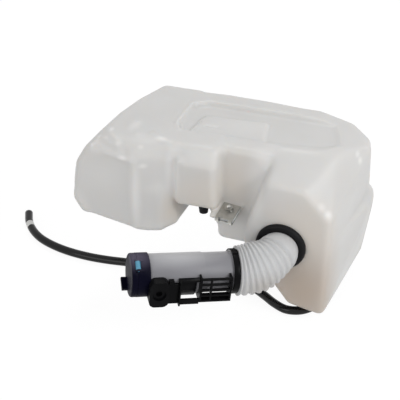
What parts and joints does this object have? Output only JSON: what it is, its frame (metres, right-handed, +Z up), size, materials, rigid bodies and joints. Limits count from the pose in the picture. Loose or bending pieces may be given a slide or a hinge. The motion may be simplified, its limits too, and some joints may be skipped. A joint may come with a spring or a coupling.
{
  "type": "washer fluid reservoir",
  "caption": "Blow-moulded vehicle washer tank with deep and shallow lobes, a bellows filler neck with a flip-lid cap, a feed pump and a rubber delivery hose.",
  "frame": {"origin": "middle of the clip nut's thread at the foot of the bolt-access groove", "axes": "+Z up, +X along the tank towards the deep lobe, +Y away from the filler side"},
  "size_m": [0.5283, 0.3402, 0.2389],
  "materials": {
    "tank_plastic": "milky blow-moulded polyethylene",
    "rubber": "matt",
    "bellows_plastic": "milky, satin",
    "tie_plastic": "satin",
    "tube_plastic": "satin",
    "cap_plastic": "satin",
    "barrel_plastic": "satin",
    "bracket_plastic": "grained",
    "zinc_steel": "zinc plated",
    "pump_plastic": "satin",
    "strainer_plastic": "satin",
    "hose_rubber": "matt"
  },
  "bodies": {
    "reservoir": {"tank": "tank_plastic", "neck_grommet": "rubber", "filler_bellows": "bellows_plastic", "clip_nut": "zinc_steel", "locating_buffer": "rubber", "pump_grommet": "rubber", "pump_housing": "pump_plastic", "pump_cover": "pump_plastic", "pump_strainer": "strainer_plastic", "washer_hose": "hose_rubber"},
    "filler": {"filler_tube": "tube_plastic", "bellows_tie": "tie_plastic", "cap_collar": "cap_plastic", "tube_bracket": "bracket_plastic"},
    "lid": {"cap_lid": "cap_plastic", "hinge_barrel": "barrel_plastic", "cap_seal": "rubber"}
  },
  "joints": [
    {"name": "neck_flex", "type": "hinge", "parent": "reservoir", "child": "filler", "pos_m": [0.057, -0.052, -0.04], "axis": [0, 0, 1], "range_deg": [-8, 8], "stiffness_Nm_per_rad": 0.6, "deforming": ["filler_bellows"]},
    {"name": "lid_hinge", "type": "hinge", "parent": "filler", "child": "lid", "pos_m": [-0.07309, -0.1452, -0.0084], "axis": [-0.3878, 0.7761, 0.4973], "range_deg": [0, 110]}
  ]
}
